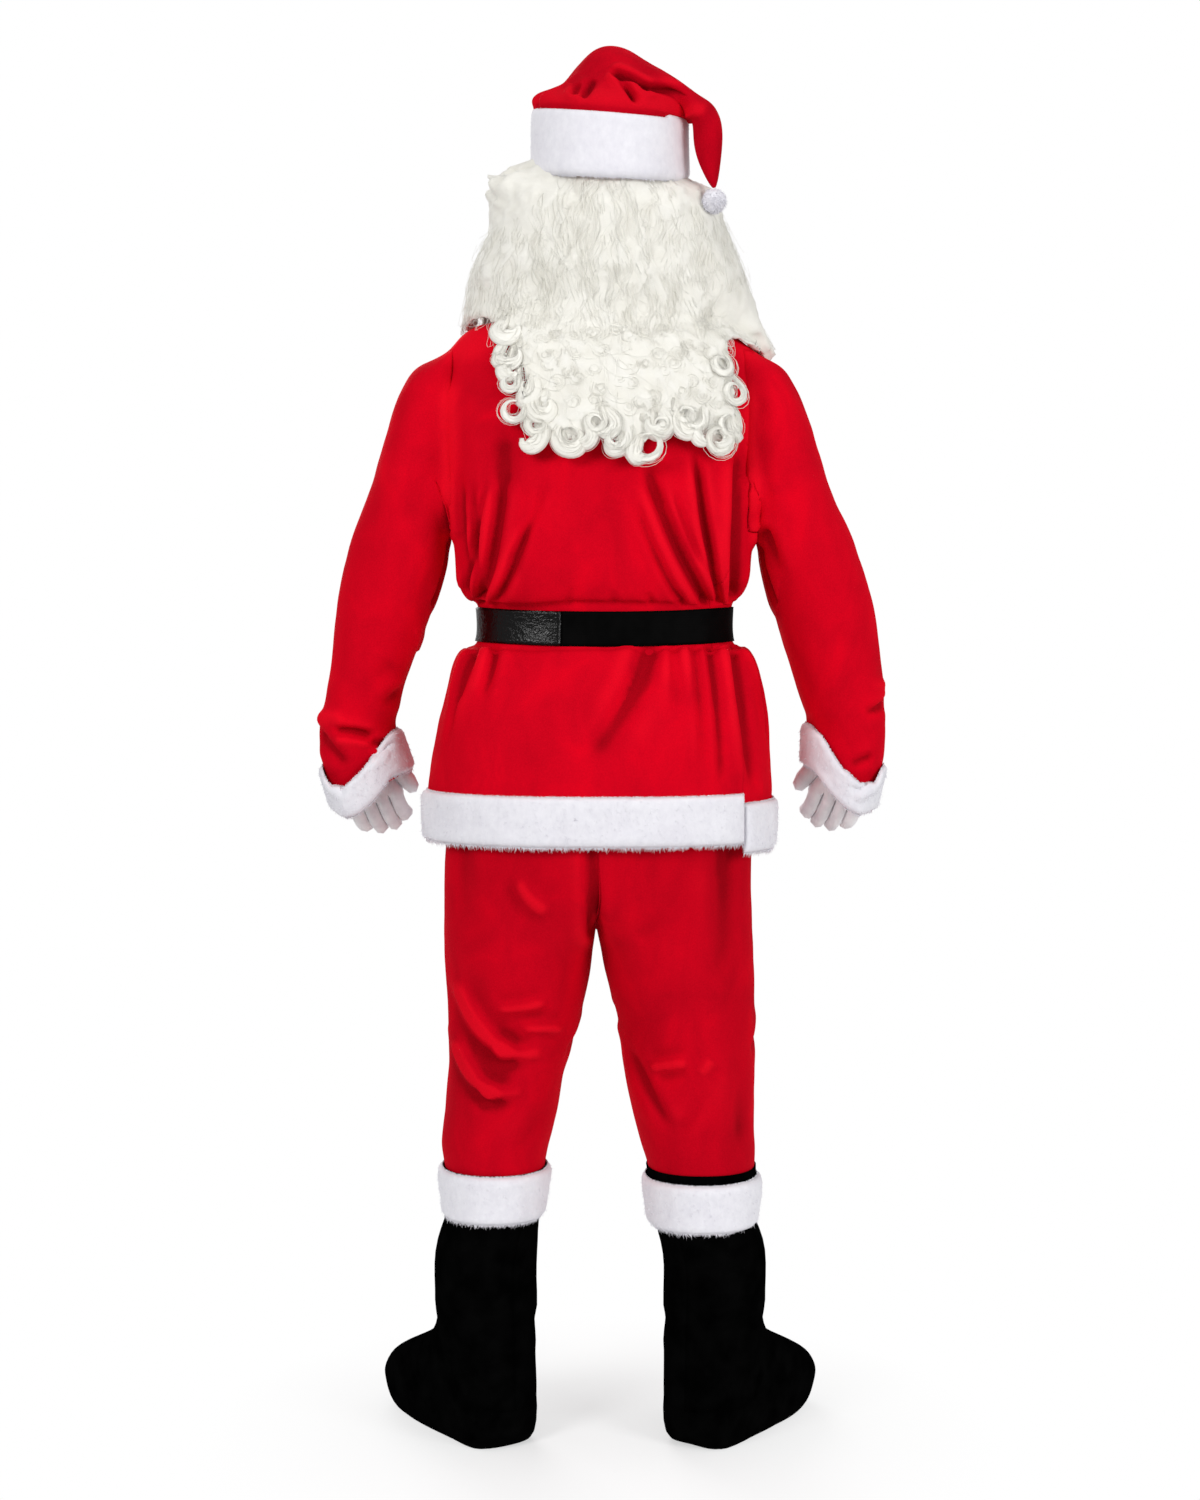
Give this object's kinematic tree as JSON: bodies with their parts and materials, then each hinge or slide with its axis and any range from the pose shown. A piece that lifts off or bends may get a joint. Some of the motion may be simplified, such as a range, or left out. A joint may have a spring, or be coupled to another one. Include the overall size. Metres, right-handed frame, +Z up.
{
  "type": "santa suit, a worn costume set with hat, wig and beard, belted jacket, gloves, trousers and boot covers",
  "caption": "Worn Santa suit, hollow and standing: red velour hat, belted jacket and trousers with white plush trims, curly white wig and beard, gloves and black boot covers.",
  "frame": {"origin": "middle of the jacket's neck opening, where the wearer carries the suit", "axes": "+Z up, -Y to the suit's front, +X to the wearer's left"},
  "size_m": [0.7644, 0.3466, 1.8494],
  "materials": {
    "velour_red": "soft short-pile velour with a red sheen",
    "plush_white": "white short fur plush",
    "hair_white": "curly off-white synthetic hair",
    "knit_white": "fine matt white knit",
    "vinyl_black": "glossy pebbled vinyl",
    "satin_black": "plain black satin",
    "felt_black": "matt black felt",
    "buckle_brass": "bright brass colour"
  },
  "bodies": {
    "root": {"beard": "hair_white", "belt_buckle": "buckle_brass", "belt_prong": "buckle_brass", "belt_satin": "satin_black", "belt_vinyl": "vinyl_black", "boot_cuff_left": "plush_white", "boot_cuff_right": "plush_white", "boot_inner_left": "felt_black", "boot_inner_right": "felt_black", "boot_outer_left": "felt_black", "boot_outer_right": "felt_black", "boot_sole_left": "felt_black", "boot_sole_right": "felt_black", "cuff_trim_left": "plush_white", "cuff_trim_right": "plush_white", "front_trim": "plush_white", "glove_left": "knit_white", "glove_right": "knit_white", "hat_band": "plush_white", "hat_crown": "velour_red", "hat_pompom": "plush_white", "hem_trim_back": "plush_white", "hem_trim_front_left": "plush_white", "hem_trim_front_right": "plush_white", "jacket_back": "velour_red", "jacket_front_left": "velour_red", "jacket_front_right": "velour_red", "sleeve_left": "velour_red", "sleeve_right": "velour_red", "trouser_back_left": "velour_red", "trouser_back_right": "velour_red", "trouser_front_left": "velour_red", "trouser_front_right": "velour_red", "trouser_waistband": "velour_red", "wig": "hair_white"}
  },
  "joints": []
}
